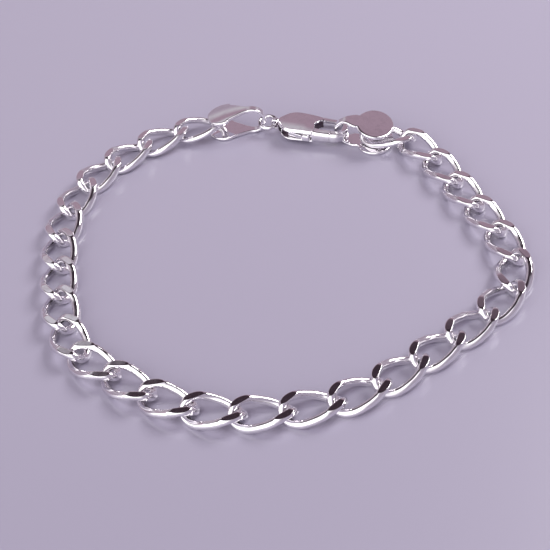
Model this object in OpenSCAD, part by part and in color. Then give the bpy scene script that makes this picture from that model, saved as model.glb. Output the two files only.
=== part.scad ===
// Link bracelet: a closed loop of twisted curb links, lying flat.
// Two folded end tabs grip the end links. A jump ring joins the left tab
// to a lobster clasp, and the clasp's hook passes through the right tab.

/* [Chain links] */
// Distance from one link to the next
link_pitch = 5.9; // [5.3:0.1:6.6]
// Outer width of a link
link_w = 5.2; // [4.9:0.1:5.6]
// Diameter of the link's wire
wire_d = 1.1; // [0.9:0.05:1.2]
// Free play between two linked wires
link_play = 0.3; // [0.3:0.05:0.4]
// Twist of each end of a link, in degrees
link_twist = 45; // [42:1:50]
// Depth of the flat cut across the top and the bottom of a link
cut_depth = 0.25; // [0.05:0.05:0.3]

/* [End tabs] */
// Length of the left tab over its fold
left_tab_l = 8.5; // [8.2:0.1:9.0]
// Length of the right tab over its fold
right_tab_l = 8.8; // [8.5:0.1:9.4]
// Thickness of a leaf
leaf_t = 0.5; // [0.35:0.05:0.6]
// Width of the strip where it is folded
neck_w = 1.1; // [1.0:0.1:1.3]
// Height of a tab's fold
fold_h = 4.0; // [3.8:0.1:4.3]
// Diameter of the left tab's wide end
left_wide_d = 4.8; // [4.4:0.1:5.6]
// Diameter of the right tab's disc
right_wide_d = 5.8; // [5.2:0.1:6.4]
// How far the left tab's leaves reach over its link
left_grip = 2.5; // [2.2:0.1:2.8]
// How far the right tab's leaves reach over its link
right_grip = 5.0; // [4.6:0.1:5.3]
// Thickness of a gripped link, as a share of the others'
grip_press = 0.85; // [0.85:0.05:0.95]
// Gap between a leaf and the link it grips
seat_gap = 0.05; // [0.05:0.01:0.1]

/* [Jump ring] */
// Outer diameter of the jump ring
ring_d = 3.2; // [3.1:0.1:3.5]
// Diameter of the jump ring's wire
ring_wire_d = 0.6; // [0.5:0.05:0.65]
// Tilt of the jump ring, in degrees
ring_tilt = 8; // [5:1:20]

/* [Clasp] */
// Length of the clasp over its eye
clasp_l = 12.1; // [11.7:0.1:12.6]
// Widest part of the clasp's body
clasp_w = 4.9; // [4.6:0.1:5.4]
// Width over the clasp's hook
hook_w = 4.1; // [3.9:0.1:4.4]
// Thickness of the clasp's body
clasp_t = 2.0; // [1.8:0.05:2.2]
// Thickness of the hook and of the lever's arm
hook_t = 1.4; // [1.2:0.05:1.5]
// Thickness of each plate above and below the lever
plate_t = 0.5; // [0.4:0.05:0.55]
// Width of the lever's arm
arm_w = 1.2; // [1.0:0.05:1.3]
// Width of the hook's far arm
far_arm_w = 0.7; // [0.6:0.05:0.85]
// Width of the hook's end
hook_end_w = 0.95; // [0.8:0.05:1.05]
// Outer diameter of the eye
eye_d = 1.8; // [1.7:0.05:2.0]
// Diameter of the hole in the eye
eye_hole_d = 1.0; // [0.9:0.05:1.1]
// Width of the eye's plate
eye_w = 0.9; // [0.7:0.05:1.0]

/* [Lever] */
// Diameter of the lever's pin
pin_d = 0.7; // [0.5:0.05:0.8]
// Radial clearance round the pin
pin_gap = 0.05; // [0.03:0.01:0.08]
// Clearance between the lever and the plates
lever_gap = 0.05; // [0.04:0.01:0.1]
// Gap between the lever's tip and the end of the hook
tip_gap = 0.08; // [0.05:0.01:0.15]
// How far the thumb nub reaches beyond the belly's radius
nub_out = 0.25; // [0.1:0.05:0.4]
// Length of the thumb nub
nub_l = 1.45; // [1.2:0.05:1.6]

/* [Hidden] */
link_count = 28;
ring_sides = 8;         // sides of a link's wire
link_rings = 24;        // sections round a link
round_fn = 48;

function link_name(k) = str("link_", k < 10 ? "0" : "", k);

// The loop's route seen from above, anticlockwise from the left tab: a few
// points chosen by hand, at the nominal sizes.
route = [
    [-6.3, 33.9], [-11.8, 32.9], [-19.8, 28.8], [-25.9, 22.2], [-28.8, 13], [-28.7, 4],
    [-28, -4], [-26, -11.2], [-20.6, -16.4], [-14, -21.7], [-6.5, -24.3], [1, -24.6],
    [9, -22.9], [18, -17.2], [26.3, -11.2], [30.9, -4.8], [29.9, 3.5], [26.6, 13],
    [23.8, 20.9], [20.6, 26.1], [15.2, 27.8], [10.4, 29.0], [1.3, 32.85]];
spline_steps = 16;

// A closed curve through the route's points.
function wrapped(i) = let (n = len(route)) (i % n + n) % n;
function curve_at(i, t) =
    let (p0 = route[wrapped(i - 1)], p1 = route[wrapped(i)],
         p2 = route[wrapped(i + 1)], p3 = route[wrapped(i + 2)])
    0.5 * (2 * p1 + (p2 - p0) * t + (2 * p0 - 5 * p1 + 4 * p2 - p3) * t * t
           + (3 * p1 - p0 - 3 * p2 + p3) * t * t * t);
curve = [for (i = [0:len(route) - 1]) for (j = [0:spline_steps - 1]) curve_at(i, j / spline_steps),
         curve_at(0, 0)];
travel = [for (i = 0, s = 0; i < len(curve);
               s = s + (i + 1 < len(curve) ? norm(curve[i + 1] - curve[i]) : 0), i = i + 1) s];
route_l = travel[len(travel) - 1];
curve_x = [for (i = [0:len(curve) - 1]) [travel[i], curve[i][0]]];
curve_y = [for (i = [0:len(curve) - 1]) [travel[i], curve[i][1]]];

// Heights: a gripped link lies between the leaves, the others on the ground.
wire_r = wire_d / 2;
half_l = (link_pitch + wire_d + link_play) / 2;     // half length of a link's centre line
half_w = (link_w - wire_d) / 2;                     // half width of it
link_form = 2.3;                                    // 2 is an ellipse, more is squarer
function signed_pow(v, e) = sign(v) * pow(abs(v), e);
function link_line(t) =
    let (side = half_w * signed_pow(sin(t), 2 / link_form), turn = -link_twist * cos(t))
    [half_l * signed_pow(cos(t), 2 / link_form), side * cos(turn), side * sin(turn)];
line_top = max([for (t = [0:2:358]) link_line(t)[2]]);
cut_z = line_top + wire_r - cut_depth;              // half thickness of a cut link
leaf_space = 2 * cut_z * grip_press + 2 * seat_gap;
tab_h = leaf_space + 2 * leaf_t;
fold_r = fold_h / 2;
mid_z = fold_r - 0.39;                              // middle height of the ring and the clasp
function leaf_slope(tab_l) = atan2(fold_h - tab_h, tab_l - fold_r);
end_lift = leaf_t + seat_gap - cut_z * (1 - grip_press);
lift_shares = [1, 0.9, 0.5, 0.17, 0];               // by the distance from a tab, in links
function lift(k) = end_lift * lift_shares[max(0, min(k, link_count - k, len(lift_shares) - 1))];

// Steps along the loop, from the left link's grip round to the same place.
link_over = wire_d + link_play / 2;                 // a link's end beyond its joint
right_tab_step = right_tab_l - right_grip + link_over;
hook_play = 0.66;                                   // room between the hook's end and the fold
hook_in_tab = leaf_t + hook_play + hook_end_w;
clasp_step = clasp_l - hook_in_tab;
ring_lead = 0.18;                                   // ring's centre beyond the left tab's fold
ring_step = 0.58;                                   // from that fold to the clasp's eye
left_tab_step = left_tab_l - left_grip + link_over;
steps = concat([for (k = [1:link_count]) link_pitch],
               [right_tab_step, clasp_step, ring_step, left_tab_step]);
marks = [for (i = 0, s = 0; i <= len(steps); s = s + (i < len(steps) ? steps[i] : 0), i = i + 1) s];
loop_l = marks[len(steps)];
route_scale = loop_l / route_l;
function flat_joint(k) =
    let (s = (marks[k] / loop_l) * route_l)
    route_scale * [lookup(s, curve_x), lookup(s, curve_y)];
joints_flat = [for (k = [0:len(steps)]) flat_joint(k)];
xs = [for (p = joints_flat) p[0]];
ys = [for (p = joints_flat) p[1]];
box_off = [-0.2, 0];                                // whole box's middle, from that of the joints
middle = [(max(xs) + min(xs)) / 2, (max(ys) + min(ys)) / 2] + box_off;
function joint(k) = let (p = joints_flat[k] - middle) [p[0], p[1], cut_z + lift(k)];
right_fold = link_count + 1;                        // joint at the right tab's fold
clasp_eye = link_count + 2;
left_fold = link_count + 3;

function unit(v) = v / norm(v);
function flat_angle(a, b) = atan2(b[1] - a[1], b[0] - a[0]);

// One link: round wire swept along the twisted oval, with the top and the
// bottom cut flat. Each section puts two corners on the edges of a cut.
function cut_angle(room) = min(67.5, room < 1 ? asin(max(room, 0.2)) : 90);
function section_angles(top, bottom) =
    [-bottom, -bottom + (top + bottom) / 3, top - (top + bottom) / 3, top,
     180 - top, 180 - top + (top + bottom) / 3, 180 + bottom - (top + bottom) / 3, 180 + bottom];
function link_section(t) =
    let (p = link_line(t), way = unit(link_line(t + 0.5) - link_line(t - 0.5)),
         up = unit([0, 0, 1] - way[2] * way), across = cross(way, up), rise = wire_r * up[2],
         top = cut_angle((cut_z - p[2]) / rise), bottom = cut_angle((cut_z + p[2]) / rise))
    [for (a = section_angles(top, bottom)) p + wire_r * (cos(a) * across + sin(a) * up)];

module link_form_solid() {
    sections = [for (i = [0:link_rings - 1]) link_section((i + 0.5) * 360 / link_rings)];
    points = [for (s = sections) each s];
    n = ring_sides;
    faces = [for (i = [0:link_rings - 1]) for (j = [0:n - 1])
        let (a = i * n + j, b = i * n + (j + 1) % n,
             c = ((i + 1) % link_rings) * n + (j + 1) % n, d = ((i + 1) % link_rings) * n + j)
        each [[a, b, c], [a, c, d]]];
    polyhedron(points, faces, convexity = 4);
}

function press(k) = k == 1 || k == link_count ? grip_press : 1;

module chain_link(k) {
    from = joint(k - 1);
    to = joint(k);
    drop = asin((to[2] - from[2]) / link_pitch);
    reach = (half_l + wire_r) * abs(sin(drop));
    centre = (from + to) / 2;
    color("gainsboro")
        translate([centre[0], centre[1], max(centre[2], cut_z * press(k) + reach)])
            rotate([0, -drop, flat_angle(from, to)])
                scale([1, 1, press(k)])
                    link_form_solid();
}

// A tab seen from above: a neck that widens into a round end.
side_out = 0.4;                                     // half widths, as shares of the wide end
shoulder_out = 0.34;
shoulder_back = 0.3;                                // the shoulder, before the wide end's middle
module tab_plan(tab_l, wide_d) {
    centre_x = tab_l - wide_d / 2;
    half = neck_w / 2;
    shoulder_x = centre_x - wide_d * shoulder_back;
    translate([centre_x, 0])
        circle(d = wide_d, $fn = round_fn);
    polygon([[-1, -half], [fold_r, -half], [shoulder_x, -wide_d * shoulder_out],
             [centre_x, -wide_d * side_out], [centre_x, wide_d * side_out],
             [shoulder_x, wide_d * shoulder_out], [fold_r, half], [-1, half]]);
}

// A tab seen from its side: the lower leaf lies flat, the strip is folded over
// a round, and the upper leaf slopes down from the fold.
fold_steps = 20;
function arc_points(r, from, to) =
    [for (i = [0:fold_steps]) let (a = from + (to - from) * i / fold_steps)
        [fold_r + r * cos(a), fold_r + r * sin(a)]];
module tab_side(tab_l) {
    slope = leaf_slope(tab_l);
    top_end = [tab_l, tab_h];
    polygon(concat([[tab_l, 0]], arc_points(fold_r, 270, 90 - slope),
                   [top_end, top_end - leaf_t * [sin(slope), cos(slope)]],
                   arc_points(fold_r - leaf_t, 90 - slope, 270), [[tab_l, leaf_t]]));
}

module end_tab(tab_l, wide_d, at, towards) {
    place = joint(at);
    color("silver")
        translate([place[0], place[1], 0])
            rotate([0, 0, flat_angle(joint(at), joint(towards))])
                intersection() {
                    rotate([90, 0, 0])
                        linear_extrude(2 * wide_d, center = true)
                            tab_side(tab_l);
                    translate([0, 0, -1])
                        linear_extrude(fold_h + 2)
                            tab_plan(tab_l, wide_d);
                }
}

module left_tab() {
    end_tab(left_tab_l, left_wide_d, left_fold, 0);
}

module right_tab() {
    end_tab(right_tab_l, right_wide_d, right_fold, link_count);
}

module jump_ring() {
    from = joint(left_fold);
    to = joint(clasp_eye);
    color("gainsboro")
        translate([from[0], from[1], mid_z])
            rotate([0, 0, flat_angle(from, to)])
                translate([ring_lead, 0, 0])
                    rotate([ring_tilt, 0, 0])
                        rotate_extrude($fn = round_fn)
                            translate([(ring_d - ring_wire_d) / 2, 0])
                                circle(d = ring_wire_d, $fn = 24);
}

// The clasp lies flat: x runs from its eye to its hook, y to its far side.
eye_r = eye_d / 2;
tail_r = 1.3;
tail_lead = 0.75;                                   // from the eye to the middle of the tail
tail_x = eye_d + tail_lead;
belly_r = clasp_w / 2;
belly_lead = 1.45;
belly_x = tail_x + belly_lead;
hook_r = hook_w / 2;
hook_x = clasp_l - hook_r;
hole_w = hook_w - arm_w - far_arm_w;
hole_y = (arm_w - far_arm_w) / 2;                   // the hole is off the middle, by the wider arm
hole_corner_r = 0.7;
hole_end_x = clasp_l - hook_end_w;
pin_x = belly_x - 0.1;
pin_y = -1.35;
pin_wall = 0.42;                                    // lever's metal round its bore
pin_eye_r = pin_d / 2 + pin_gap + pin_wall;
seam_r = 3.35;                                       // the body's edge at the arm's root, from the pin
hole_x = pin_x + 3.2;
thick_x = hole_x + 0.6;                             // the thick part of the body ends here
nub_x = pin_x + 1.55;
nub_out_y = -belly_r - nub_out;
groove_x = nub_x + nub_l;                           // groove between the nub and the arm
groove_l = 0.4;
groove_y = -1.7;
tip_back = 0.25;                                    // lever's tip, back from the fold's outer end
lever_tip_x = clasp_step - tip_back;
slot_x = tail_x - 0.8;
slot_room = 0.4;                                    // room behind the lever for its turn
slot_y = pin_y + pin_eye_r + slot_room;
slot_h = clasp_t - 2 * plate_t;
swing_y = 0.25;                                     // back of the room in which the arm's root swings
arm_out_y = -hook_r;
arm_in_y = arm_out_y + arm_w;

module clasp_outline() {
    hull() {
        translate([tail_x, 0])
            circle(r = tail_r, $fn = 32);
        translate([belly_x, 0])
            circle(r = belly_r, $fn = round_fn);
        translate([hook_x, 0])
            circle(r = hook_r, $fn = round_fn);
    }
}

module slab(h) {
    translate([0, 0, -h / 2])
        linear_extrude(h)
            children();
}

// The hole is round towards the body and squarer at the hook's end.
module hook_hole() {
    hole_r = hole_w / 2;
    hull() {
        translate([hole_x + hole_r, hole_y])
            circle(r = hole_r, $fn = round_fn);
        for (side = [-1, 1])
            translate([hole_end_x - hole_corner_r, hole_y + side * (hole_r - hole_corner_r)])
                circle(r = hole_corner_r, $fn = round_fn);
    }
}

// The mouth that the lever's arm closes: its root turns in a round about the pin.
module mouth() {
    difference() {
        translate([pin_x, -clasp_w])
            square([lever_tip_x + tip_gap - pin_x, clasp_w + swing_y]);
        translate([pin_x, pin_y])
            circle(r = seam_r, $fn = 2 * round_fn);
    }
}

module place_clasp() {
    from = joint(clasp_eye);
    to = joint(right_fold);
    translate([from[0], from[1], mid_z])
        rotate([0, 0, flat_angle(from, to)])
            children();
}

module clasp_body() {
    color("silver")
        place_clasp() {
            difference() {
                union() {
                    intersection() {
                        slab(clasp_t)
                            clasp_outline();
                        translate([0, -clasp_w, -clasp_t])
                            cube([thick_x, 2 * clasp_w, 2 * clasp_t]);
                    }
                    slab(hook_t)
                        clasp_outline();
                }
                slab(2 * clasp_t)
                    hook_hole();
                slab(2 * clasp_t)
                    mouth();
                slab(slot_h)
                    translate([slot_x, -clasp_w])
                        square([lever_tip_x - slot_x, clasp_w + slot_y]);
            }
            translate([pin_x, pin_y, 0])
                cylinder(d = pin_d, h = clasp_t, center = true, $fn = 32);
            difference() {
                union() {
                    translate([eye_r, 0, 0])
                        rotate([90, 0, 0])
                            cylinder(r = eye_r, h = eye_w, center = true, $fn = round_fn);
                    translate([eye_r, -eye_w / 2, -hook_t / 2])
                        cube([tail_x - eye_r, eye_w, hook_t]);
                }
                translate([eye_r, 0, 0])
                    rotate([90, 0, 0])
                        cylinder(d = eye_hole_d, h = eye_w + 1, center = true, $fn = 32);
            }
        }
}

// The lever turns on the pin: its nub is pushed back to open the mouth.
module clasp_lever() {
    root_x = pin_x + seam_r;
    color("gainsboro")
        place_clasp()
            difference() {
                union() {
                    slab(slot_h - 2 * lever_gap) {
                        translate([pin_x, pin_y])
                            circle(r = pin_eye_r, $fn = 32);
                        polygon([[pin_x, pin_y + pin_eye_r / 2], [root_x + arm_w / 2, arm_in_y],
                                 [root_x + arm_w / 2, arm_out_y], [groove_x + groove_l, arm_out_y],
                                 [groove_x + groove_l, groove_y], [groove_x, groove_y],
                                 [groove_x, nub_out_y], [nub_x, nub_out_y], [nub_x, arm_out_y],
                                 [pin_x, pin_y - pin_eye_r]]);
                    }
                    slab(hook_t)
                        difference() {
                            translate([root_x - arm_w, arm_out_y])
                                square([lever_tip_x - root_x + arm_w, arm_w]);
                            translate([pin_x, pin_y])
                                circle(r = seam_r + lever_gap, $fn = 2 * round_fn);
                        }
                }
                translate([pin_x, pin_y, 0])
                    cylinder(r = pin_d / 2 + pin_gap, h = clasp_t, center = true, $fn = 32);
            }
}

for (k = [1:link_count])
    chain_link(k);
left_tab();
jump_ring();
clasp_body();
clasp_lever();
right_tab();
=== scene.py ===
import math

import bpy
import numpy as np
from mathutils import Matrix, Vector
from mathutils.geometry import delaunay_2d_cdt


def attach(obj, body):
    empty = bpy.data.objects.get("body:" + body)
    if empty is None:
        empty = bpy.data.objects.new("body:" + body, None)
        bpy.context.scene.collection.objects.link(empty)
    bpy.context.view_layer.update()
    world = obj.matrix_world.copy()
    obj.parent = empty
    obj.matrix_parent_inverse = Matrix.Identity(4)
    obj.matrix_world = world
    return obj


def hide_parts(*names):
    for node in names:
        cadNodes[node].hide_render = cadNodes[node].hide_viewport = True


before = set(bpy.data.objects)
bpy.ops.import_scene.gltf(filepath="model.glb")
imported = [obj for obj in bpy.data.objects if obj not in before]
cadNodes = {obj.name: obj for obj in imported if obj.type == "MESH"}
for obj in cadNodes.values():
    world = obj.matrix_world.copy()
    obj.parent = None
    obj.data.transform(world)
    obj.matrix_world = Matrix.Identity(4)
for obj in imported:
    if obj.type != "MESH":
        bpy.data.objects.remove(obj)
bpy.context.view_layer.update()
scene = bpy.context.scene
mm = 0.001
print("frame loaded:", len(cadNodes), "nodes")


# A socket that can be used in sums: each operation adds its Math node.
class Value:
    def __init__(self, graph, socket):
        self.graph = graph
        self.socket = socket

    def __add__(self, other):
        return self.graph.math("ADD", self, other)

    def __radd__(self, other):
        return self.graph.math("ADD", other, self)

    def __sub__(self, other):
        return self.graph.math("SUBTRACT", self, other)

    def __rsub__(self, other):
        return self.graph.math("SUBTRACT", other, self)

    def __mul__(self, other):
        return self.graph.math("MULTIPLY", self, other)

    def __rmul__(self, other):
        return self.graph.math("MULTIPLY", other, self)

    def __truediv__(self, other):
        return self.graph.math("DIVIDE", self, other)

    def __rtruediv__(self, other):
        return self.graph.math("DIVIDE", other, self)

    def __pow__(self, other):
        return self.graph.math("POWER", self, other)

    def __neg__(self):
        return self.graph.math("MULTIPLY", self, -1.0)


# A node tree with one method for arithmetic and one for every other node.
class Graph:
    def __init__(self, tree):
        self.tree = tree

    def plug(self, socket, value):
        if isinstance(value, Value):
            self.tree.links.new(value.socket, socket)
        elif value is not None:
            socket.default_value = value

    def math(self, operation, *values):
        node = self.tree.nodes.new("ShaderNodeMath")
        node.operation = operation
        for place, value in enumerate(values):
            self.plug(node.inputs[place], value)
        return Value(self, node.outputs[0])

    def node(self, kind, settings=None, inputs=None, output=0):
        node = self.tree.nodes.new(kind)
        for name, setting in (settings or {}).items():
            if name == "stops":
                self.ramp(node.color_ramp, setting)
            else:
                setattr(node, name, setting)
        for name, value in (inputs or {}).items():
            self.plug(node.inputs[name], value)
        return Value(self, node.outputs[output]) if len(node.outputs) else None

    def ramp(self, ramp, stops):
        while len(ramp.elements) < len(stops):
            ramp.elements.new(0.5)
        for element, (place, colour) in zip(ramp.elements, stops):
            element.position = place
            element.color = colour

    def between(self, value, low, high):
        return self.node("ShaderNodeMapRange", {"interpolation_type": "SMOOTHSTEP"},
                         {"Value": value, "From Min": low, "From Max": high})

    def limit(self, value, low, high):
        return self.math("MINIMUM", self.math("MAXIMUM", value, low), high)

    def vector(self, operation, a, b=None):
        return self.node("ShaderNodeVectorMath", {"operation": operation}, {0: a, 1: b})

    def scaled(self, vector, factor):
        return self.node("ShaderNodeVectorMath", {"operation": "SCALE"}, {0: vector, "Scale": factor})

    def join(self, x, y, z):
        return self.node("ShaderNodeCombineXYZ", None, {0: x, 1: y, 2: z})

    def parts(self, vector):
        split = self.tree.nodes.new("ShaderNodeSeparateXYZ")
        self.plug(split.inputs[0], vector)
        return [Value(self, socket) for socket in split.outputs]

    def mix(self, factor, a, b):
        node = self.tree.nodes.new("ShaderNodeMix")
        node.data_type = "RGBA"
        self.plug(node.inputs["Factor"], factor)
        colours = [socket for socket in node.inputs if socket.type == "RGBA"]
        self.plug(colours[0], a)
        self.plug(colours[1], b)
        return Value(self, [socket for socket in node.outputs if socket.type == "RGBA"][0])


def emptyMaterial(name):
    material = bpy.data.materials.new(name)
    material.use_nodes = True
    material.node_tree.nodes.clear()
    return material, Graph(material.node_tree)


# Polished silver: a clear mirror with a faint haze, hairline scratches and a soft grain.
silver = {
    "colour": (0.87, 0.85, 0.87, 1.0),
    "dullColour": (0.76, 0.73, 0.76, 1.0),
    "smooth": 0.075,
    "hazy": 0.16,
    "cloudScale": 900.0,
    "cloudDetail": 3.0,
    "cloudRoughness": 0.55,
    "cloudRange": (0.42, 0.72),
    "cloudDull": 0.5,
    "cloudRough": 0.6,
    "cloudHeight": 0.6,
    "scratchScale": 1400.0,
    "scratchDetail": 2.0,
    "scratchRange": (0.55, 0.75),
    "scratchTurn": (0.3, 0.5, 0.9),
    "scratchStretch": (1.0, 0.07, 1.0),
    "scratchDull": 0.15,
    "scratchRough": 0.03,
    "bumpDepth": 0.012 * mm,
    "bumpStrength": 0.25,
}


def polishedSilver():
    material, graph = emptyMaterial("polishedSilver")
    place = graph.node("ShaderNodeTexCoord", output="Object")
    clouds = graph.node("ShaderNodeTexNoise", None,
                        {"Vector": place, "Scale": silver["cloudScale"],
                         "Detail": silver["cloudDetail"], "Roughness": silver["cloudRoughness"]})
    stretched = graph.node("ShaderNodeMapping", None,
                           {"Vector": place, "Rotation": silver["scratchTurn"],
                            "Scale": silver["scratchStretch"]})
    hairs = graph.node("ShaderNodeTexNoise", None,
                       {"Vector": stretched, "Scale": silver["scratchScale"],
                        "Detail": silver["scratchDetail"]})
    haze = graph.between(clouds, *silver["cloudRange"])
    fine = graph.between(hairs, *silver["scratchRange"])
    dull = haze * silver["cloudDull"] + fine * silver["scratchDull"]
    colour = graph.mix(dull, silver["colour"], silver["dullColour"])
    extraRough = (silver["hazy"] - silver["smooth"]) * silver["cloudRough"]
    rough = silver["smooth"] + haze * extraRough + fine * silver["scratchRough"]
    bump = graph.node("ShaderNodeBump", None,
                      {"Strength": silver["bumpStrength"], "Distance": silver["bumpDepth"],
                       "Height": hairs + clouds * silver["cloudHeight"]})
    shader = graph.node("ShaderNodeBsdfPrincipled", None,
                        {"Base Color": colour, "Metallic": 1.0, "Roughness": rough, "Normal": bump})
    graph.node("ShaderNodeOutputMaterial", None, {"Surface": shader})
    return material


# The inside of the clasp: a dull, rough metal whose dark colour is painted shade for the lever's slot.
slotShadeMetal = {"colour": (0.16, 0.12, 0.145, 1.0), "rough": 0.45}


def paintedSlotShade():
    material, graph = emptyMaterial("paintedSlotShade")
    shader = graph.node("ShaderNodeBsdfPrincipled", None,
                        {"Base Color": slotShadeMetal["colour"], "Metallic": 1.0,
                         "Roughness": slotShadeMetal["rough"]})
    graph.node("ShaderNodeOutputMaterial", None, {"Surface": shader})
    return material


silverMetal = polishedSilver()
slotShadeMaterial = paintedSlotShade()
print("materials ready")

sharpAngle = math.radians(35)


def silverPiece(name, points, faces):
    mesh = bpy.data.meshes.new(name)
    mesh.from_pydata([tuple(point) for point in points], [], [tuple(face) for face in faces])
    mesh.materials.append(silverMetal)
    mesh.update()
    mesh.shade_smooth()
    mesh.set_sharp_from_angle(angle=sharpAngle)
    piece = bpy.data.objects.new(name, mesh)
    scene.collection.objects.link(piece)
    return piece


# The middle and the three axes of a solid, from the spread of its corners.
def ownAxes(node):
    corners = np.array([vertex.co[:] for vertex in node.data.vertices])
    corners = np.unique(np.round(corners, 7), axis=0)
    middle = corners.mean(axis=0)
    axes = np.linalg.eigh(np.cov((corners - middle).T))[1]
    up, side, along = axes[:, 0], axes[:, 1], axes[:, 2]
    up = up if up[2] > 0 else -up
    along = along if along[0] > 0 else -along
    return middle, along, np.cross(up, along), up


# Chain: one link's shape in a node tree, set on a point for each of the solid links. Its two
# end links, which the tabs hold, are pressed flatter.
link = {
    "halfLength": 3.65 * mm,
    "halfWidth": 2.05 * mm,
    "wireRadius": 0.55 * mm,
    "form": 2.3,
    "twist": math.radians(45),
    "cutHeight": 1.0995 * mm,
    "pressed": 0.82,
    "edgeRound": 0.07,
    "leastRoom": 0.2,
    "spareRoom": 0.25,
    "spareTurn": math.radians(22.5),
    "weld": 0.0015 * mm,
    "nudge": math.radians(0.5),
    "sections": 84,
    "arcSteps": 12,
    "flatSteps": 8,
}


# The middle line of a link's wire, at the angle t round it.
def linkLine(graph, sizes, t):
    along = graph.math("COSINE", t)
    side = graph.math("SINE", t)
    power = 2 / sizes["form"]
    x = sizes["halfLength"] * graph.math("SIGN", along) * graph.math("ABSOLUTE", along) ** power
    out = sizes["halfWidth"] * graph.math("SIGN", side) * graph.math("ABSOLUTE", side) ** power
    turn = -sizes["twist"] * along
    return graph.join(x, out * graph.math("COSINE", turn), out * graph.math("SINE", turn))


def linkTree():
    tree = bpy.data.node_groups.new("curbLinks", "GeometryNodeTree")
    face = tree.interface
    face.new_socket("Geometry", in_out="OUTPUT", socket_type="NodeSocketGeometry")
    face.new_socket("Geometry", in_out="INPUT", socket_type="NodeSocketGeometry")
    kinds = {"halfLength": "Float", "halfWidth": "Float", "wireRadius": "Float", "form": "Float",
             "twist": "Float", "cutHeight": "Float", "edgeRound": "Float",
             "sections": "Int", "arcSteps": "Int", "flatSteps": "Int"}
    identifiers = {}
    for name, kind in kinds.items():
        socket = face.new_socket(name, in_out="INPUT", socket_type="NodeSocket" + kind)
        identifiers[name] = socket.identifier
    graph = Graph(tree)
    entry = tree.nodes.new("NodeGroupInput")
    sizes = {name: Value(graph, entry.outputs[name]) for name in kinds}
    points = Value(graph, entry.outputs["Geometry"])

    sides = sizes["arcSteps"] * 2 + sizes["flatSteps"] * 2
    grid = graph.node("GeometryNodeMeshGrid", None,
                      {"Size X": 1.0, "Size Y": 1.0, "Vertices X": sizes["sections"] + 1,
                       "Vertices Y": sides + 1})
    u, v = graph.parts(graph.node("GeometryNodeInputPosition"))[:2]
    t = (u + 0.5) * 2 * math.pi
    v = v + 0.5
    centre = linkLine(graph, sizes, t)
    ahead = linkLine(graph, sizes, t + link["nudge"])
    behind = linkLine(graph, sizes, t - link["nudge"])
    way = graph.vector("NORMALIZE", graph.vector("SUBTRACT", ahead, behind))
    tilt = graph.scaled(way, -graph.parts(way)[2])
    up = graph.vector("NORMALIZE", graph.vector("ADD", tilt, (0.0, 0.0, 1.0)))
    across = graph.vector("CROSS_PRODUCT", way, up)

    # The flat cuts: how far each lies from the wire's middle, in wire radii.
    rise = sizes["wireRadius"] * graph.parts(up)[2]
    height = graph.parts(centre)[2]
    roomAbove = (sizes["cutHeight"] - height) / rise
    roomBelow = (sizes["cutHeight"] + height) / rise

    def cutAngle(room):
        clipped = graph.limit(room, link["leastRoom"], 1.0)
        spare = graph.limit((room - 1.0) / link["spareRoom"], 0.0, 1.0)
        return graph.math("ARCSINE", clipped) - spare * link["spareTurn"]

    # Rows of corners round the wire, gathered near the edges of the cuts.
    def easedRow(start, end):
        share = graph.limit((v - start) / (end - start), 0.0, 1.0)
        return (1.0 - graph.math("COSINE", share * math.pi)) * 0.5

    top, bottom = cutAngle(roomAbove), cutAngle(roomBelow)
    arc = sizes["arcSteps"] / sides
    angle = (-bottom + (top + bottom) * easedRow(0.0, arc)
             + (math.pi - 2 * top) * easedRow(arc, 0.5)
             + (top + bottom) * easedRow(0.5, 0.5 + arc)
             + (math.pi - 2 * bottom) * easedRow(0.5 + arc, 1.0))
    lift = graph.math("SMOOTH_MIN", graph.math("SINE", angle), roomAbove, sizes["edgeRound"])
    lift = graph.math("SMOOTH_MAX", lift, -roomBelow, sizes["edgeRound"])
    outward = graph.scaled(across, graph.math("COSINE", angle) * sizes["wireRadius"])
    upward = graph.scaled(up, lift * sizes["wireRadius"])
    spot = graph.vector("ADD", centre, graph.vector("ADD", outward, upward))
    shaped = graph.node("GeometryNodeSetPosition", None, {"Geometry": grid, "Position": spot})
    closed = graph.node("GeometryNodeMergeByDistance", None, {"Geometry": shaped, "Distance": link["weld"]})
    smooth = graph.node("GeometryNodeSetShadeSmooth", None, {"Geometry": closed})

    kind = {"data_type": "FLOAT_VECTOR"}
    turns = graph.node("GeometryNodeInputNamedAttribute", kind, {"Name": "turn"})
    rotation = graph.node("FunctionNodeEulerToRotation", None, {"Euler": turns})
    size = graph.node("GeometryNodeInputNamedAttribute", kind, {"Name": "size"})
    placed = graph.node("GeometryNodeInstanceOnPoints", None,
                        {"Points": points, "Instance": smooth, "Rotation": rotation, "Scale": size})
    real = graph.node("GeometryNodeRealizeInstances", None, {"Geometry": placed})
    finished = graph.node("GeometryNodeSetMaterial", None, {"Geometry": real, "Material": silverMetal})
    graph.node("NodeGroupOutput", None, {"Geometry": finished})
    return tree, identifiers


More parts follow.
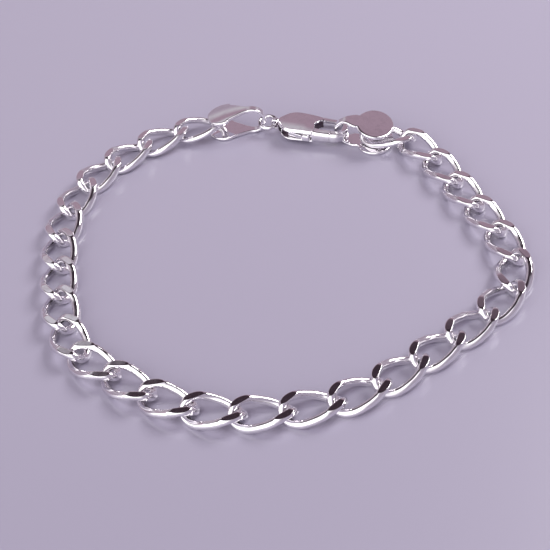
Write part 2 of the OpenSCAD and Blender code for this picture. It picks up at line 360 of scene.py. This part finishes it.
def chainOfLinks(linkNames):
    mesh = bpy.data.meshes.new("linkPlaces")
    places, turns, sizes = [], [], []
    for name in linkNames:
        middle, along, side, up = ownAxes(cadNodes[name])
        places.append(tuple(middle))
        turns.append(Matrix((along, side, up)).transposed().to_euler()[:])
        held = name in (linkNames[0], linkNames[-1])
        sizes.append((1.0, 1.0, link["pressed"] if held else 1.0))
    mesh.from_pydata(places, [], [])
    for name, rows in (("turn", turns), ("size", sizes)):
        attribute = mesh.attributes.new(name, "FLOAT_VECTOR", "POINT")
        attribute.data.foreach_set("vector", np.array(rows).ravel())
    holder = bpy.data.objects.new("linkPlaces", mesh)
    scene.collection.objects.link(holder)
    tree, identifiers = linkTree()
    modifier = holder.modifiers.new("curbLinks", "NODES")
    modifier.node_group = tree
    for name, identifier in identifiers.items():
        modifier[identifier] = link[name]
    evaluated = holder.evaluated_get(bpy.context.evaluated_depsgraph_get())
    result = bpy.data.meshes.new_from_object(evaluated)
    holder.modifiers.remove(modifier)
    bpy.data.objects.remove(holder)
    result.name = "chainLinks"
    chain = bpy.data.objects.new("chainLinks", result)
    scene.collection.objects.link(chain)
    return chain


linkNames = sorted(name for name in cadNodes if name.startswith("link_"))
chainLinks = chainOfLinks(linkNames)
print("chain:", len(linkNames), "links,", len(chainLinks.data.polygons), "faces")


# Flat work: a closed plate over an outline, whose two faces follow height rules. Its sizes
# are in millimetres until it is set down.
plate = {
    "edgeStep": 0.12,
    "rings": (0.02, 0.05, 0.1, 0.16, 0.23, 0.3),
    "ringKept": 0.96,
    "grid": 0.3,
    "gridKept": 0.6,
}


def arcPoints(middle, radius, start, end):
    count = max(3, int(math.ceil(abs(math.radians(end - start)) * radius / plate["edgeStep"])))
    angles = [math.radians(start + (end - start) * i / count) for i in range(count + 1)]
    return [(middle[0] + radius * math.cos(a), middle[1] + radius * math.sin(a)) for a in angles]


def evenly(loop):
    points = []
    for a, b in zip(loop, loop[1:] + loop[:1]):
        length = math.dist(a, b)
        if length < 1e-6:
            continue
        count = max(1, int(round(length / plate["edgeStep"])))
        points += [(a[0] + (b[0] - a[0]) * i / count, a[1] + (b[1] - a[1]) * i / count)
                   for i in range(count)]
    return points


def edgeDistance(points, loops):
    nearest = np.full(len(points), 1e9)
    for loop in loops:
        starts = np.array(loop)
        runs = np.roll(starts, -1, axis=0) - starts
        for start, run in zip(starts, runs):
            share = np.clip(((points - start) @ run) / max(run @ run, 1e-12), 0, 1)
            nearest = np.minimum(nearest, np.linalg.norm(points - start - share[:, None] * run, axis=1))
    return nearest


def isInside(points, loops):
    inside = np.zeros(len(points), bool)
    for loop in loops:
        for (ax, ay), (bx, by) in zip(loop, loop[1:] + loop[:1]):
            spans = (ay > points[:, 1]) != (by > points[:, 1])
            if spans.any():
                crossing = ax + (points[:, 1] - ay) * (bx - ax) / ((by - ay) or 1e-12)
                inside ^= spans & (points[:, 0] < crossing)
    return inside


# Corners for a plate: its edge, rings that follow the edge inside, and an even grid.
def fillPoints(loops, rings, grid):
    gathered = [np.array(point)[None] for loop in loops for point in loop]
    for ring in rings:
        for loop in loops:
            corners = np.array(loop)
            way = np.roll(corners, -1, axis=0) - np.roll(corners, 1, axis=0)
            way /= np.linalg.norm(way, axis=1)[:, None]
            inner = corners + ring * np.stack([-way[:, 1], way[:, 0]], 1)
            keep = isInside(inner, loops) & (edgeDistance(inner, loops) > ring * plate["ringKept"])
            gathered.append(inner[keep])
    low = np.min([np.min(loop, axis=0) for loop in loops], axis=0)
    high = np.max([np.max(loop, axis=0) for loop in loops], axis=0)
    xs, ys = np.meshgrid(np.arange(low[0], high[0], grid), np.arange(low[1], high[1], grid))
    xs = xs + np.where((np.arange(xs.shape[0]) % 2)[:, None] == 1, grid / 2, 0)
    spread = np.stack([xs.ravel(), ys.ravel()], 1)
    spread = spread[isInside(spread, loops)]
    spread = spread[edgeDistance(spread, loops) > rings[-1] + grid * plate["gridKept"]]
    gathered.append(spread)
    return np.concatenate(gathered)


# Outer loops run anticlockwise and holes clockwise, so that inside is on the left.
def roundedPlate(loops, topRule, bottomRule, rings=plate["rings"], grid=plate["grid"]):
    loops = [evenly(loop) for loop in loops]
    flat = fillPoints(loops, rings, grid)
    edges = []
    first = 0
    for loop in loops:
        count = len(loop)
        edges += [(first + i, first + (i + 1) % count) for i in range(count)]
        first += count
    rim = first
    corners, _, triangles = delaunay_2d_cdt([Vector(point) for point in flat], edges, [], 0, 1e-6)[:3]
    corners = np.array([corner[:] for corner in corners])
    middles = np.array([corners[list(triangle)].mean(axis=0) for triangle in triangles])
    triangles = [triangle for triangle, keep in zip(triangles, isInside(middles, loops)) if keep]
    depth = edgeDistance(corners, loops)
    depth[:rim] = 0
    top = np.column_stack([corners, topRule(corners[:, 0], corners[:, 1], depth)])
    bottom = np.column_stack([corners, bottomRule(corners[:, 0], corners[:, 1], depth)])
    count = len(corners)
    faces = []
    for a, b, c in triangles:
        u, v = corners[b] - corners[a], corners[c] - corners[a]
        if u[0] * v[1] - u[1] * v[0] < 0:
            b, c = c, b
        faces += [(a, b, c), (a + count, c + count, b + count)]
    for a, b in edges:
        faces.append((a + count, b + count, b, a))
    return np.concatenate([top, bottom]), faces


# How far a quarter round has fallen, at some depth in from an edge.
def rounding(depth, radius):
    short = np.clip(radius - depth, 0, radius)
    return radius - np.sqrt(np.maximum(radius * radius - short * short, 0))


# Puts a piece's own millimetres at its place in the shared frame, in metres.
def setDown(points, place, heading):
    angle = math.radians(heading)
    x = place[0] + points[:, 0] * math.cos(angle) - points[:, 1] * math.sin(angle)
    y = place[1] + points[:, 0] * math.sin(angle) + points[:, 1] * math.cos(angle)
    return np.column_stack([x, y, place[2] + points[:, 2]]) * mm


# A height rule for a level face.
def level(height):
    return lambda x, y, depth: height + 0 * x


def joined(parts):
    points, faces, first = [], [], 0
    for some, theirs in parts:
        points.append(some)
        faces += [tuple(corner + first for corner in face) for face in theirs]
        first += len(some)
    return np.concatenate(points), faces


def eased(share):
    share = np.clip(share, 0, 1)
    return share * share * (3 - 2 * share)


# A smooth curve through a few named points, read at many places.
def smoothed(knots, places):
    slopes = np.gradient(knots[:, 1], knots[:, 0])
    spot = np.clip(np.searchsorted(knots[:, 0], places) - 1, 0, len(knots) - 2)
    width = knots[spot + 1, 0] - knots[spot, 0]
    t = (places - knots[spot, 0]) / width
    return ((1 + 2 * t) * (1 - t) ** 2 * knots[spot, 1] + t * (1 - t) ** 2 * width * slopes[spot]
            + t * t * (3 - 2 * t) * knots[spot + 1, 1] + t * t * (t - 1) * width * slopes[spot + 1])


# End tabs: one strip, folded over a round, with a leaf above and a leaf below. An outline
# gives half widths by the distance from the fold's end.
tabs = {
    "thickness": 0.5,
    "edge": 0.12,
    "nearEdge": 0.1,
    "rings": (0.015, 0.04, 0.08, 0.125, 0.18, 0.26),
    "grid": 0.28,
    "neckSteps": 40,
    "domeLong": 1.5,
    "domeAcross": 1.02,
    "rollStart": 0.5,
    "rollRun": 3.0,
    "left": {
        "place": (0.0467, 28.3852, 0.0),
        "heading": 172.62,
        "length": 8.9,
        "foldRadius": 2.12,
        "slope": 13.0,
        "roll": 0.0,
        "wide": 2.5,
        "deep": 1.0,
        "near": 1,
        "outline": [(-0.6, 0.55), (0.2, 0.62), (1.0, 0.92), (2.0, 1.45), (3.0, 1.98)],
        "dome": 0.22,
    },
    "right": {
        "place": (9.7992, 24.3358, 0.0),
        "heading": -13.85,
        "length": 8.8,
        "foldRadius": 2.0,
        "slope": 9.0,
        "roll": 1.0,
        "wide": 2.75,
        "deep": 1.2,
        "near": -1,
        "outline": [(-0.9, 0.58), (-0.3, 0.9), (0.4, 1.3), (0.9, 1.5), (1.25, 1.45)],
        "dome": 0.03,
    },
}


def tabStrip(tab):
    fold = tab["foldRadius"]
    slope = math.radians(tab["slope"])
    middleRadius = fold - tabs["thickness"] / 2
    upTurn = math.radians(90) + slope
    downTurn = math.radians(90)
    upStart = middleRadius * upTurn
    downStart = middleRadius * downTurn
    upLength = (tab["length"] - fold * (1 + math.sin(slope))) / math.cos(slope)
    downLength = tab["length"] - fold

    def side(start, length):
        middle = length - tab["wide"]
        knots = np.array(tab["outline"])
        places = np.linspace(knots[0, 0], knots[-1, 0], tabs["neckSteps"])
        halves = smoothed(knots, places)
        join = math.degrees(math.asin(min(1, knots[-1, 1] / tab["wide"] / tab["deep"])))
        leaf = arcPoints((middle, 0), tab["wide"], 180 - join, 0)
        neck = [(start + place, half) for place, half in zip(places, halves) if place < middle]
        return neck + [(start + x, y * tab["deep"]) for x, y in leaf if x > places[-1]]

    upper = side(upStart, upLength)
    lower = [(-x, y) for x, y in side(downStart, downLength)]
    edge = lower[::-1] + upper
    loop = edge[::-1] + [(x, -y) for x, y in edge[1:-1]]
    half = tabs["thickness"] / 2

    def edgeFall(y, depth):
        return rounding(depth, tabs["edge"] + tabs["nearEdge"] * eased(0.5 + tab["near"] * y))

    def dome(x, y):
        middle = upStart + upLength - tab["wide"]
        away = np.hypot((x - middle) / (tab["wide"] * tabs["domeLong"]),
                        y / (tab["wide"] * tabs["domeAcross"]))
        return tab["dome"] * np.clip(1 - away * away, 0, 1)

    points, faces = roundedPlate(
        [loop], lambda x, y, depth: half - edgeFall(y, depth) + dome(x, y),
        lambda x, y, depth: -half + edgeFall(y, depth) + dome(x, y), tabs["rings"], tabs["grid"])

    # The flat strip is wound round the fold, and runs straight on beyond it.
    run, y, rise = points[:, 0], points[:, 1], points[:, 2]
    turn = np.clip(run / middleRadius, -downTurn, upTurn)
    beyond = run - turn * middleRadius
    x = fold - (middleRadius + rise) * np.cos(turn) + beyond * np.sin(turn)
    z = fold + (middleRadius + rise) * np.sin(turn) + beyond * np.cos(turn)
    rolled = eased((beyond - tabs["rollStart"]) / tabs["rollRun"])
    z = z + y * math.tan(math.radians(tab["roll"])) * rolled
    return setDown(np.column_stack([x, y, z]), tab["place"], tab["heading"]), faces


for side in ("left", "right"):
    points, faces = tabStrip(tabs[side])
    tabs[side]["piece"] = silverPiece(side + "Tab", points, faces)
leftTab, rightTab = tabs["left"]["piece"], tabs["right"]["piece"]
print("tabs:", len(leftTab.data.polygons) + len(rightTab.data.polygons), "faces")


# Jump ring: a round wire in a circle, laid on the solid ring's own axes.
ring = {"middleRadius": 1.3, "wireRadius": 0.3, "sections": 96, "sides": 32}


def jumpRingPiece():
    middle, along, side, up = ownAxes(cadNodes["jump_ring"])
    points, faces = [], []
    for i in range(ring["sections"]):
        a = 2 * math.pi * i / ring["sections"]
        out = math.cos(a) * along + math.sin(a) * side
        for j in range(ring["sides"]):
            b = 2 * math.pi * j / ring["sides"]
            reach = ring["middleRadius"] + ring["wireRadius"] * math.cos(b)
            points.append(middle + (out * reach + up * ring["wireRadius"] * math.sin(b)) * mm)
            i2, j2 = (i + 1) % ring["sections"], (j + 1) % ring["sides"]
            faces.append((i * ring["sides"] + j, i2 * ring["sides"] + j,
                          i2 * ring["sides"] + j2, i * ring["sides"] + j2))
    return silverPiece("jumpRing", points, faces)


jumpRing = jumpRingPiece()
print("jump ring: 1 piece")


# Clasp: a flat body with a hook, an eye at its tail and a slot for the lever. Its x runs from
# the eye to the hook's end, and its lever is on the side of low y.
clasp = {
    "place": (0.6039, 28.2244, 1.61),
    "heading": -22.92,
    "tail": (2.55, 1.3),
    "belly": (4.0, 2.45),
    "hook": (10.05, 2.05),
    "holeStart": (7.9, 0.75, 0.6),
    "holeEnd": (10.45, 0.25, 0.4, 0.7),
    "armInside": -0.85,
    "tip": 9.79,
    "gap": 0.04,
    "pin": (3.9, -1.35, 0.35),
    "seam": 3.35,
    "seamInside": 0.2,
    "seamTries": 8,
    "cut": 0.05,
    "aheadStart": 0.2,
    "slot": (1.75, -0.05),
    "coreCorner": (6.6, 0.45),
    "coreRings": (0.3,),
    "coreGrid": 0.6,
    "bodyHalf": 0.92,
    "hookHalf": 0.72,
    "taper": (5.5, 8.6),
    "slotHalf": 0.54,
    "rimRise": 0.03,
    "edgeWidth": 0.24,
    "edgePower": 1.12,
    "underEdge": 0.35,
    "slotEdge": 0.2,
    "nearRun": 0.6,
    "barTurn": (-1.0, 1.0),
    "barEdge": 0.42,
    "barPower": 1.7,
    "barUnderEdge": 0.3,
    "barUnderRise": 0.04,
    "rings": (0.02, 0.05, 0.09, 0.14, 0.2, 0.23, 0.27, 0.34, 0.42, 0.5, 0.58),
    "grid": 0.25,
    "farEdge": 0.16,
    "crisp": 0.07,
    "dish": 0.022,
    "sideHigh": 0.2,
    "sideLow": -0.38,
    "eye": (0.9, 0.85, 0.48, 0.4),
    "eyeWeb": (0.6, 0.5),
    "eyeEdge": 0.2,
    "eyeRings": (0.02, 0.05, 0.1, 0.16),
    "pinRise": 0.05,
    "pinRings": (0.1,),
}


# Half the clasp's thickness: it thins towards the hook and rises a little to the near side.
def claspHalf(x, y):
    start, end = clasp["taper"]
    half = clasp["bodyHalf"] + (clasp["hookHalf"] - clasp["bodyHalf"]) * eased((x - start) / (end - start))
    return half + clasp["dish"] * np.clip(-y, 0, 3) ** 2


# The angle at which the straight sides leave the belly's round, in radians.
def slimAngle():
    (bellyX, bellyR), (hookX, hookR) = clasp["belly"], clasp["hook"]
    return math.acos((bellyR - hookR) / (hookX - bellyX))


def claspOutline():
    (tailX, tailR), (bellyX, bellyR), (hookX, hookR) = clasp["tail"], clasp["belly"], clasp["hook"]
    slim = math.degrees(slimAngle())
    full = math.degrees(math.acos((tailR - bellyR) / (bellyX - tailX)))
    return evenly(arcPoints((hookX, 0), hookR, -slim, slim) + arcPoints((bellyX, 0), bellyR, slim, full)
                  + arcPoints((tailX, 0), tailR, full, 360 - full)
                  + arcPoints((bellyX, 0), bellyR, 360 - full, 360 - slim))


outline = claspOutline()


# The outline's half width where it runs straight, between the belly and the hook.
def outlineHalf(x):
    bellyX, bellyR = clasp["belly"]
    slim = slimAngle()
    return (bellyR - (x - bellyX) * math.cos(slim)) / math.sin(slim)


# How far a rounded side has fallen, as a share, at some distance from the outline. Its width
# is the near side's.
def sideFall(x, y, width=clasp["edgeWidth"], power=clasp["edgePower"]):
    distance = edgeDistance(np.column_stack([x, y]), [outline])
    width = clasp["farEdge"] + (width - clasp["farEdge"]) * eased(0.5 - y)
    share = np.clip(1 - distance / width, 0, 1)
    return 1 - (1 - share ** power) ** (1 / power)


# How far the small rounding along the seam, the mouth and the hole has fallen.
def crispFall(x, y, chain):
    return rounding(edgeDistance(np.column_stack([x, y]), [chain + chain[-2:0:-1]]), clasp["crisp"])


# An arc about the pin, from the outline in to some y: the seam between plates and lever. Its
# outer end is found step by step, because the outline slopes.
def seamArc(radius, inY):
    pinX, pinY = clasp["pin"][:2]
    outX = pinX + radius
    for _ in range(clasp["seamTries"]):
        outX = pinX + math.sqrt(radius ** 2 - (outlineHalf(outX) + pinY) ** 2)
    low = math.degrees(math.asin((-outlineHalf(outX) - pinY) / radius))
    high = math.degrees(math.asin((inY - pinY) / radius))
    return arcPoints((pinX, pinY), radius, low, high)


def claspBodyPiece():
    startX, startY, startR = clasp["holeStart"]
    endX, endY, endHalf, endR = clasp["holeEnd"]
    gap, cut = clasp["slotHalf"], clasp["cut"]
    splitY = outlineHalf(startX)
    seam = seamArc(clasp["seam"], clasp["seamInside"])
    holeLeft = arcPoints((startX, startY), startR, 180, 90)
    back = [point for point in outline if (point[1] > 0 and point[0] < startX - cut)
            or (point[1] <= 0 and point[0] < seam[0][0] - cut)]
    plateLoop = [(startX, splitY)] + back + seam + holeLeft
    seamChain = seam + holeLeft

    def plateTop(x, y, depth):
        half = claspHalf(x, y)
        rimHeight = gap + clasp["rimRise"]
        return half - sideFall(x, y) * (half - rimHeight) - crispFall(x, y, seamChain)

    def lowerTop(x, y, depth):
        near = eased(-y / clasp["nearRun"])
        distance = edgeDistance(np.column_stack([x, y]), [outline])
        return -gap - rounding(distance, clasp["slotEdge"]) * near

    def lowerBottom(x, y, depth):
        half = claspHalf(x, y)
        rim = gap + clasp["rimRise"] + clasp["slotEdge"] * eased(-y / clasp["nearRun"])
        fall = sideFall(x, y, clasp["underEdge"]) * (half - rim)
        return -half + fall + crispFall(x, y, seamChain)

    rings, grid = clasp["rings"], clasp["grid"]
    upper = roundedPlate([plateLoop], plateTop, level(gap), rings, grid)
    lower = roundedPlate([plateLoop], lowerTop, lowerBottom, rings, grid)

    # The core between the plates, behind the lever's slot.
    slotX, slotY = clasp["slot"]
    tailX, tailR = clasp["tail"]
    slotOut = -math.sqrt(tailR ** 2 - (slotX - tailX) ** 2)
    wall = [point for point in back if point[1] > 0 or point[0] < slotX - cut]
    coreLoop = ([(startX, splitY)] + wall + [(slotX, slotOut), (slotX, slotY), clasp["coreCorner"]]
                + holeLeft)
    core = roundedPlate([coreLoop], level(gap), level(-gap), clasp["coreRings"], clasp["coreGrid"])

    # The hook, from the hole's far side round its end to the arm's tip.
    tipX = clasp["tip"] + clasp["gap"]
    holeRight = ([(startX, startY + startR)] + arcPoints((endX, endY + endHalf), endR, 90, 0)
                 + arcPoints((endX, endY - endHalf), endR, 0, -90) + [(tipX, clasp["armInside"])])
    aheadX = clasp["hook"][0] + clasp["aheadStart"]
    ahead = [point for point in outline if (point[1] <= 0 and point[0] > aheadX)
             or (point[1] > 0 and point[0] > startX + cut)]
    hookLoop = [(tipX, -outlineHalf(tipX))] + ahead + [(startX, splitY)] + holeRight
    tipChain = holeRight + [(tipX, -outlineHalf(tipX))]
    hook = roundedPlate([hookLoop], lambda x, y, depth: barTop(x, y, tipChain),
                        lambda x, y, depth: barBottom(x, y, tipChain), rings, grid)

    # The eye is drawn flat and turned upright.
    eyeX, outer, inner, halfWidth = clasp["eye"]
    webBack, webHalf = clasp["eyeWeb"]
    webX = tailX - webBack
    web = math.degrees(math.asin(webHalf / outer))
    eyeLoop = arcPoints((eyeX, 0), outer, web, 360 - web) + [(webX, -webHalf), (webX, webHalf)]
    holeLoop = arcPoints((eyeX, 0), inner, 360, 0)[:-1]
    edge = clasp["eyeEdge"]
    corners, eyeFaces = roundedPlate(
        [eyeLoop, holeLoop], lambda x, y, depth: halfWidth - rounding(depth, edge),
        lambda x, y, depth: -halfWidth + rounding(depth, edge), clasp["eyeRings"])
    eye = (corners[:, [0, 2, 1]] * (1, -1, 1), eyeFaces)

    pinX, pinY, pinR = clasp["pin"]
    pinTop = gap + clasp["pinRise"]
    pin = roundedPlate([arcPoints((pinX, pinY), pinR, 0, 360)[:-1]], level(pinTop), level(-pinTop),
                       clasp["pinRings"])
    points, faces = joined([upper, lower, hook, eye, core, pin])
    body = silverPiece("claspBody", setDown(points, clasp["place"], clasp["heading"]), faces)
    # The core and the pin in the slot take the painted-shade material.
    body.data.materials.append(slotShadeMaterial)
    inside = len(core[1]) + len(pin[1])
    for face in body.data.polygons[len(faces) - inside:]:
        face.material_index = 1
    return body


# The share of the bar's far section, from its near side to its far side.
def barFar(y):
    low, high = clasp["barTurn"]
    return eased((y - low) / (high - low))


# The bar's section: high and sloped above on its outer side, tucked in below.
def barTop(x, y, chain):
    half = claspHalf(x, y)
    far = barFar(y)
    rim = clasp["sideHigh"] + (clasp["slotHalf"] + clasp["rimRise"] - clasp["sideHigh"]) * far
    fall = sideFall(x, y, clasp["barEdge"], clasp["barPower"]) * (half - rim)
    return half - fall - crispFall(x, y, chain)


def barBottom(x, y, chain):
    half = claspHalf(x, y)
    far = barFar(y)
    rim = -clasp["sideLow"] + clasp["barUnderRise"] + (clasp["slotHalf"] + clasp["sideLow"]) * far
    return -half + sideFall(x, y, clasp["barUnderEdge"]) * (half - rim) + crispFall(x, y, chain)


# Lever: a tongue on the pin, a thumb nub and the arm that closes the mouth.
lever = {
    "tongueHalf": 0.46,
    "tongueTop": 0.2,
    "tongueEdge": 0.12,
    "tongueUnderEdge": 0.08,
    "tongueRings": (0.015, 0.04, 0.08, 0.14),
    "eyeRadius": 0.72,
    "eyeArc": (80, 235),
    "boreRadius": 0.4,
    "tongueSide": [(5.6, -2.35), (6.7, -2.3), (6.9, -1.7), (7.6, -1.7), (7.9, -1.3), (7.9, -0.95),
                   (7.0, -0.6)],
    "nub": [(5.45, -1.3), (5.45, -2.25), (5.9, -2.72), (6.75, -2.75), (6.9, -2.6), (6.9, -1.3)],
    "nubHalf": 0.5,
    "nubEdge": 0.3,
    "nubUnderEdge": 0.15,
}


def claspLeverPiece():
    middle = clasp["pin"][:2]
    tongueLoop = arcPoints(middle, lever["eyeRadius"], *lever["eyeArc"]) + lever["tongueSide"]
    bore = arcPoints(middle, lever["boreRadius"], 360, 0)[:-1]
    tongue = roundedPlate(
        [tongueLoop, bore], lambda x, y, depth: lever["tongueTop"] - rounding(depth, lever["tongueEdge"]),
        lambda x, y, depth: -lever["tongueHalf"] + rounding(depth, lever["tongueUnderEdge"]),
        lever["tongueRings"])
    nub = roundedPlate(
        [lever["nub"]], lambda x, y, depth: lever["nubHalf"] - rounding(depth, lever["nubEdge"]),
        lambda x, y, depth: -lever["nubHalf"] + rounding(depth, lever["nubUnderEdge"]))
    tipX, insideY = clasp["tip"], clasp["armInside"]
    root = seamArc(clasp["seam"] + clasp["gap"], insideY)
    armLoop = [(tipX, -outlineHalf(tipX)), (tipX, insideY)] + root[::-1]
    arm = roundedPlate([armLoop], lambda x, y, depth: barTop(x, y, armLoop),
                       lambda x, y, depth: barBottom(x, y, armLoop), clasp["rings"], clasp["grid"])
    points, faces = joined([tongue, nub, arm])
    return silverPiece("claspLever", setDown(points, clasp["place"], clasp["heading"]), faces)


claspBody = claspBodyPiece()
claspLever = claspLeverPiece()
print("clasp:", len(claspBody.data.polygons) + len(claspLever.data.polygons), "faces")

rows = ((chainLinks, "bracelet", linkNames), (leftTab, "bracelet", ["left_tab"]),
        (rightTab, "bracelet", ["right_tab"]), (jumpRing, "bracelet", ["jump_ring"]),
        (claspBody, "bracelet", ["clasp_body"]), (claspLever, "lever", ["clasp_lever"]))
for piece, body, replaced in rows:
    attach(piece, body)
    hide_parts(*replaced)


# Camera at the photo's angle.
view = {
    "place": (-0.9 * mm, -127.838 * mm, 110.952 * mm),
    "down": math.radians(48.1),
    "roll": math.radians(-5.4),
    "lens": 82.6,
    "sensor": 36.0,
    "clipStart": 0.01,
}
camera = bpy.data.cameras.new("camera")
camera.lens = view["lens"]
camera.sensor_width = view["sensor"]
camera.clip_start = view["clipStart"]
cameraObject = bpy.data.objects.new("camera", camera)
turn = Matrix.Rotation(view["down"], 4, "X") @ Matrix.Rotation(view["roll"], 4, "Z")
cameraObject.matrix_world = Matrix.Translation(view["place"]) @ turn
scene.collection.objects.link(cameraObject)
scene.camera = cameraObject
scene.view_settings.view_transform = "Standard"


# Floor: a plain pale surface.
floor = {
    "size": 1.2,
    "colour": (0.422, 0.389, 0.493, 1.0),
    "rough": 0.3,
    "sheen": 1.0,
}
floorMaterial, graph = emptyMaterial("paleFloor")
shader = graph.node("ShaderNodeBsdfPrincipled", None,
                    {"Base Color": floor["colour"], "Roughness": floor["rough"],
                     "Specular IOR Level": floor["sheen"]})
graph.node("ShaderNodeOutputMaterial", None, {"Surface": shader})
half = floor["size"] / 2
floorMesh = bpy.data.meshes.new("floor")
floorMesh.from_pydata([(-half, -half, 0), (half, -half, 0), (half, half, 0), (-half, half, 0)], [],
                      [(0, 1, 2, 3)])
floorMesh.materials.append(floorMaterial)
floorObject = bpy.data.objects.new("floor", floorMesh)
scene.collection.objects.link(floorObject)


# Light: a soft room whose tone changes with direction, and a large soft lamp. The ramp's places
# are shares of the way from level to upright, and the other angles are in degrees.
room = {
    "horizon": (0.40, 0.33, 0.41, 1.0),
    "band": (0.54, 0.50, 0.56, 1.0),
    "farMiddle": (0.37, 0.265, 0.335, 1.0),
    "farSides": (0.66, 0.64, 0.70, 1.0),
    "farHigh": (0.042, 0.027, 0.038, 1.0),
    "white": (1.8, 1.77, 1.82, 1.0),
    "right": (0.42, 0.37, 0.46, 1.0),
    "ramp": [(0.0, "horizon"), (0.23, "horizon"), (0.29, "band"), (0.32, "band"),
             (0.37, "farMiddle"), (0.44, "farMiddle"), (0.5, "farHigh")],
    "sidesAround": (-6, -10),
    "sidesLow": (38, 40.5),
    "sidesHigh": (45, 42),
    "nearEdge": (-0.14, 0.12),
    "rightEdge": (-0.4, 0.2),
    "lowEdge": (2, -1),
    "strength": 1.0,
}


def studioRoom():
    world = bpy.data.worlds.new("room")
    scene.world = world
    world.use_nodes = True
    world.node_tree.nodes.clear()
    graph = Graph(world.node_tree)

    def turned(angle, name):
        return graph.between(angle, *(math.radians(limit) for limit in room[name]))

    direction = graph.node("ShaderNodeTexCoord", output="Generated")
    x, y, z = graph.parts(direction)
    high = graph.math("ARCSINE", z)
    around = graph.math("ARCTAN2", x, y)
    stops = [(place, room[name]) for place, name in room["ramp"]]
    colour = graph.node("ShaderNodeValToRGB", {"stops": stops}, {"Fac": high * (2 / math.pi)})
    sides = turned(around, "sidesAround") * turned(high, "sidesLow") * turned(high, "sidesHigh")
    colour = graph.mix(sides, colour, room["farSides"])
    near = graph.between(-y, *room["nearEdge"])
    nearColour = graph.mix(graph.between(-x, *room["rightEdge"]), room["right"], room["white"])
    colour = graph.mix(near, colour, nearColour)
    colour = graph.mix(turned(high, "lowEdge") * near, colour, room["horizon"])
    background = graph.node("ShaderNodeBackground", None, {"Color": colour, "Strength": room["strength"]})
    graph.node("ShaderNodeOutputWorld", None, {"Surface": background})


studioRoom()
lamp = {"place": (0.36, 0.23, 0.40), "size": 0.28, "power": 2.2}
lampData = bpy.data.lights.new("softLamp", "AREA")
lampData.shape = "SQUARE"
lampData.size = lamp["size"]
lampData.energy = lamp["power"]
lampObject = bpy.data.objects.new("softLamp", lampData)
lampObject.location = lamp["place"]
lampObject.rotation_euler = (-Vector(lamp["place"])).to_track_quat("-Z", "Y").to_euler()
scene.collection.objects.link(lampObject)
print("camera, floor and light ready")
